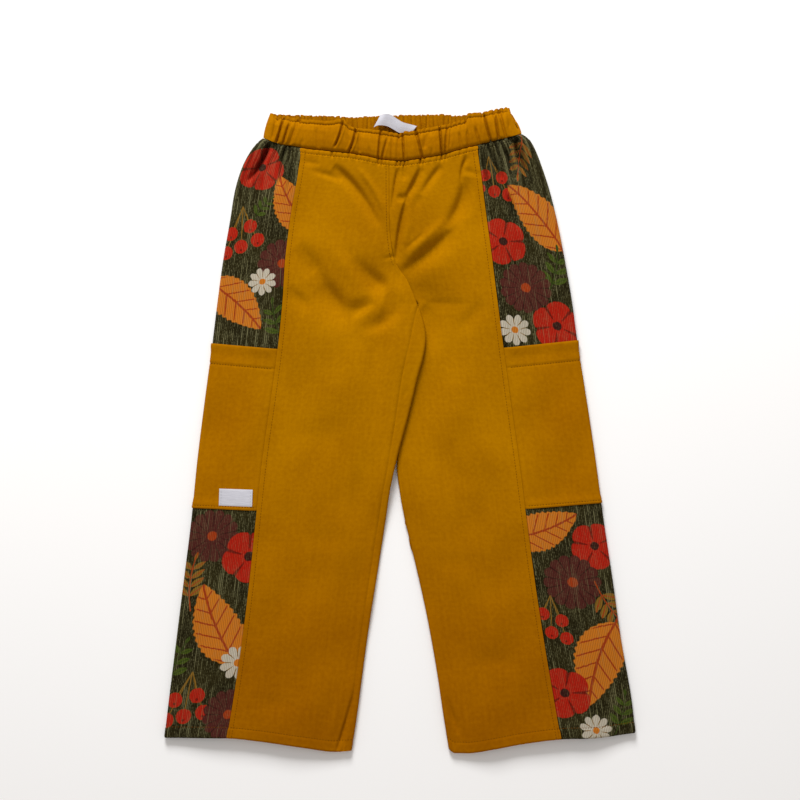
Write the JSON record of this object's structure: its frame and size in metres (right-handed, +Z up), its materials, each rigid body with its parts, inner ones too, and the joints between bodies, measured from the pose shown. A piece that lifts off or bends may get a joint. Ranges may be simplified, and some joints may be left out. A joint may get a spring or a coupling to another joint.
{
  "type": "child's pull-on trousers",
  "caption": "Pull-on trousers laid flat, front up: twill legs, printed corduroy side panels, patch pockets and a gathered elastic waistband.",
  "frame": {"origin": "on the floor under the middle of the trousers as they lie", "axes": "+Z up from the floor through the cloth, +Y from the hems towards the waist, +X to the viewer's right"},
  "size_m": [0.4718, 0.6459, 0.0199],
  "materials": {
    "twill": "matte mustard cotton twill",
    "corduroy": "printed fine-wale corduroy on dark olive",
    "label": "blank white woven label"
  },
  "bodies": {
    "root": {"front_left": "twill", "front_right": "twill", "back_left": "twill", "back_right": "twill", "side_left": "corduroy", "side_right": "corduroy", "pocket_left": "twill", "pocket_right": "twill", "waistband_front": "twill", "waistband_back": "twill", "label_pocket": "label", "label_waist": "label"}
  },
  "joints": []
}
